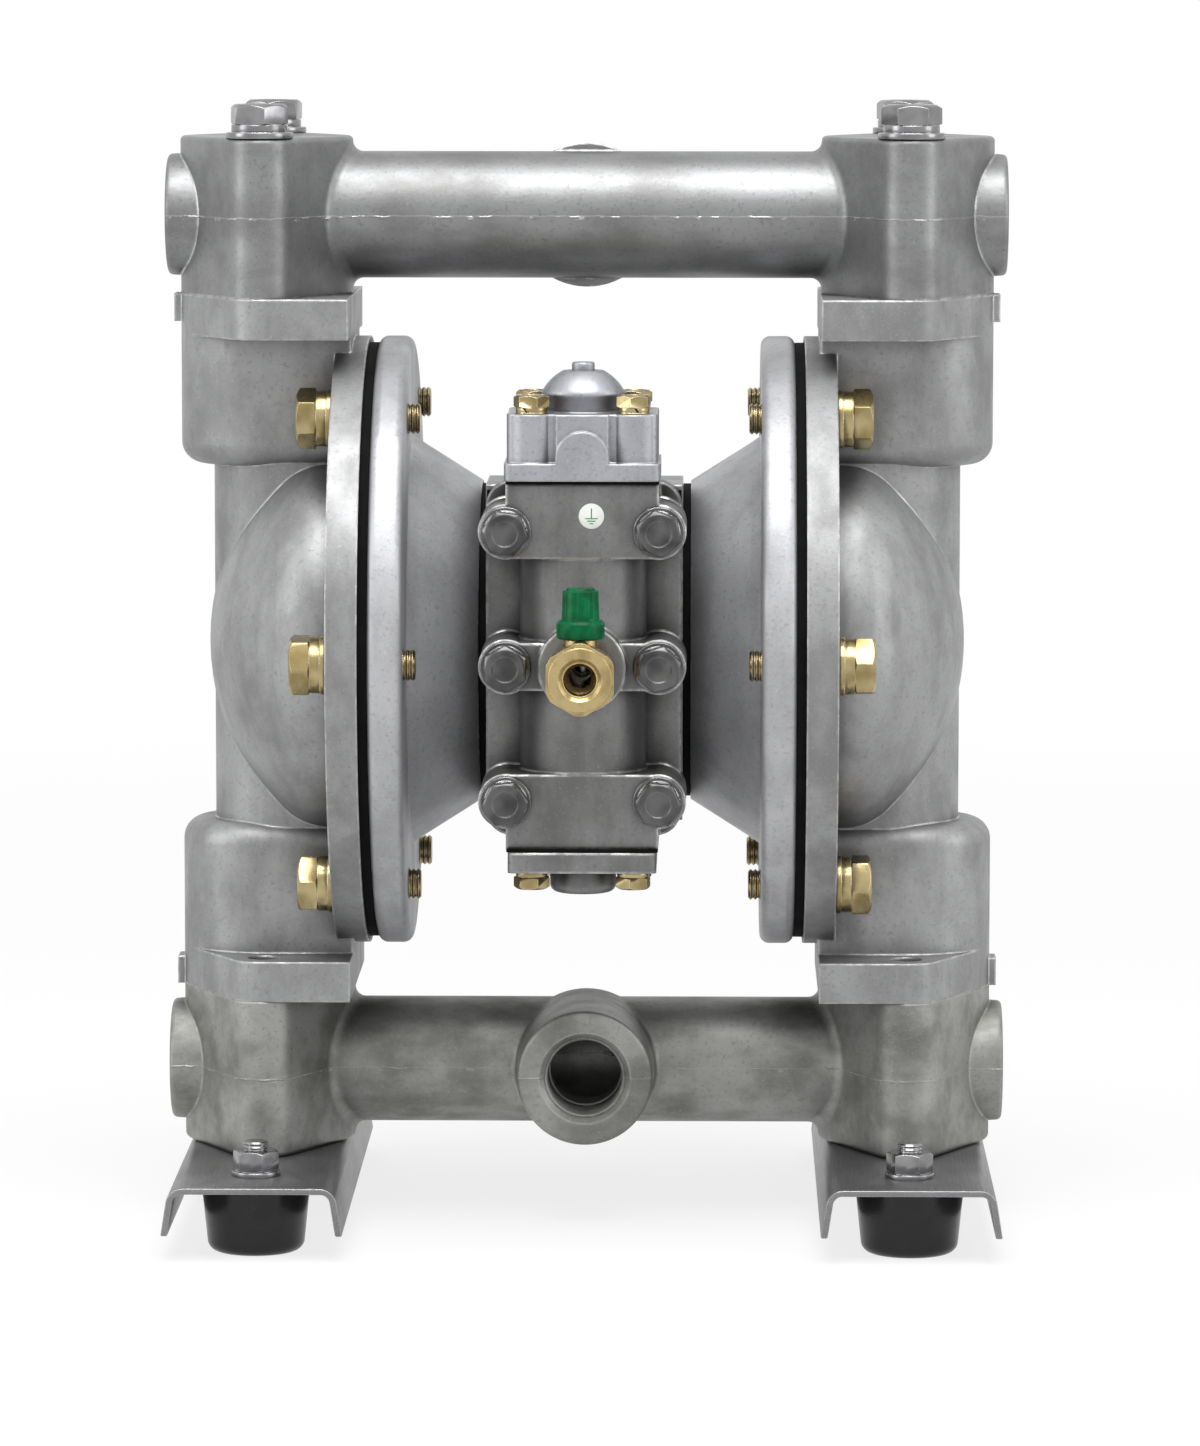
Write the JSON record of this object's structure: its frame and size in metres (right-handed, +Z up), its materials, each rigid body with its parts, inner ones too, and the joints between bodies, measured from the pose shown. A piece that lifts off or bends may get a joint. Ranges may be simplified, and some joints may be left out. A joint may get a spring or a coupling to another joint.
{
  "type": "air operated diaphragm pump",
  "caption": "Air driven double diaphragm pump: two bolted round chambers on a centre air valve, with ported manifolds below and above, on channel rails with rubber feet.",
  "frame": {"origin": "on the floor under the middle of the pump's bounding box", "axes": "+Z up, X along the diaphragm shaft, -Y towards the front with the air valve and its inlet"},
  "size_m": [0.272, 0.266, 0.3629],
  "materials": {
    "casting_light": "matte sand-cast face",
    "casting_dark": "matte sand-cast face, slightly stained",
    "cap_casting": "smooth die-cast face",
    "zinc": "bright zinc plate",
    "yellow_zinc": "yellow passivated zinc plate",
    "sheet_steel": "brushed sheet",
    "foot_rubber": "smooth moulded rubber",
    "gasket_rubber": "matte sheet rubber",
    "diaphragm_rubber": "moulded rubber",
    "brass": "turned",
    "knob_plastic": "moulded, green",
    "spring_steel": "drawn wire",
    "shaft_steel": "ground",
    "valve_plastic": "moulded",
    "silencer_plastic": "moulded",
    "button_metal": "turned"
  },
  "bodies": {
    "frame": {"base_channel_left": "sheet_steel", "base_channel_right": "sheet_steel", "rubber_feet": "foot_rubber", "foot_studs": "zinc", "foot_washers": "zinc", "foot_nuts": "zinc", "lower_manifold": "casting_dark", "upper_manifold": "casting_dark", "lower_valve_seats": "valve_plastic", "upper_valve_seats": "valve_plastic", "seat_seals": "gasket_rubber", "fluid_chamber_left": "casting_light", "fluid_chamber_right": "casting_light", "air_chamber_left": "casting_light", "air_chamber_right": "casting_light", "chamber_gasket_left": "gasket_rubber", "chamber_gasket_right": "gasket_rubber", "diaphragm_left": "diaphragm_rubber", "diaphragm_right": "diaphragm_rubber", "shaft_bushes": "valve_plastic", "shaft_seals": "gasket_rubber", "centre_body": "casting_light", "pilot_spring_left": "spring_steel", "pilot_spring_right": "spring_steel", "silencer": "silencer_plastic", "valve_body": "casting_dark", "valve_gasket": "gasket_rubber", "valve_sleeve": "cap_casting", "top_cap": "cap_casting", "bottom_cap": "cap_casting", "cap_gaskets": "gasket_rubber", "reset_spring": "spring_steel", "inlet_valve_body": "brass", "flange_bolts_left": "yellow_zinc", "flange_bolts_right": "yellow_zinc", "flange_washers": "yellow_zinc", "upper_manifold_bolts": "zinc", "lower_manifold_bolts": "zinc", "manifold_washers": "zinc", "valve_body_bolts": "zinc", "valve_body_washers": "zinc", "top_cap_bolts": "yellow_zinc", "bottom_cap_bolts": "yellow_zinc", "chamber_screws": "zinc"},
    "shaft_group": {"shaft": "shaft_steel", "inner_disc_left": "zinc", "inner_disc_right": "zinc", "outer_disc_left": "cap_casting", "outer_disc_right": "cap_casting"},
    "lower_ball_left_body": {"lower_ball_left": "diaphragm_rubber"},
    "lower_ball_right_body": {"lower_ball_right": "diaphragm_rubber"},
    "upper_ball_left_body": {"upper_ball_left": "diaphragm_rubber"},
    "upper_ball_right_body": {"upper_ball_right": "diaphragm_rubber"},
    "spool_body": {"valve_spool": "shaft_steel"},
    "reset_button_body": {"reset_button": "button_metal"},
    "pilot_left_body": {"pilot_pin_left": "shaft_steel"},
    "pilot_right_body": {"pilot_pin_right": "shaft_steel"},
    "knob_group": {"knob": "knob_plastic", "inlet_valve_ball": "brass"}
  },
  "joints": [
    {"name": "shaft_slide", "type": "slide", "parent": "frame", "child": "shaft_group", "axis": [1, 0, 0], "range_m": [-0.01, 0.01], "deforming": ["diaphragm_left", "diaphragm_right"]},
    {"name": "lower_ball_left_lift", "type": "slide", "parent": "frame", "child": "lower_ball_left_body", "axis": [0, 0, 1], "range_m": [0, 0.007]},
    {"name": "lower_ball_right_lift", "type": "slide", "parent": "frame", "child": "lower_ball_right_body", "axis": [0, 0, 1], "range_m": [0, 0.007]},
    {"name": "upper_ball_left_lift", "type": "slide", "parent": "frame", "child": "upper_ball_left_body", "axis": [0, 0, 1], "range_m": [0, 0.007]},
    {"name": "upper_ball_right_lift", "type": "slide", "parent": "frame", "child": "upper_ball_right_body", "axis": [0, 0, 1], "range_m": [0, 0.007]},
    {"name": "spool_slide", "type": "slide", "parent": "frame", "child": "spool_body", "axis": [0, 0, 1], "range_m": [0, 0.008]},
    {"name": "reset_press", "type": "slide", "parent": "frame", "child": "reset_button_body", "axis": [0, 0, -1], "range_m": [0, 0.0025], "stiffness_N_per_m": 800, "deforming": ["reset_spring"]},
    {"name": "pilot_left_press", "type": "slide", "parent": "frame", "child": "pilot_left_body", "axis": [1, 0, 0], "range_m": [0, 0.003], "stiffness_N_per_m": 800, "deforming": ["pilot_spring_left"]},
    {"name": "pilot_right_press", "type": "slide", "parent": "frame", "child": "pilot_right_body", "axis": [-1, 0, 0], "range_m": [0, 0.003], "stiffness_N_per_m": 800, "deforming": ["pilot_spring_right"]},
    {"name": "knob_turn", "type": "hinge", "parent": "frame", "child": "knob_group", "pos_m": [0, -0.119, 0.188], "axis": [0, 0, 1], "range_deg": [0, 90]}
  ]
}
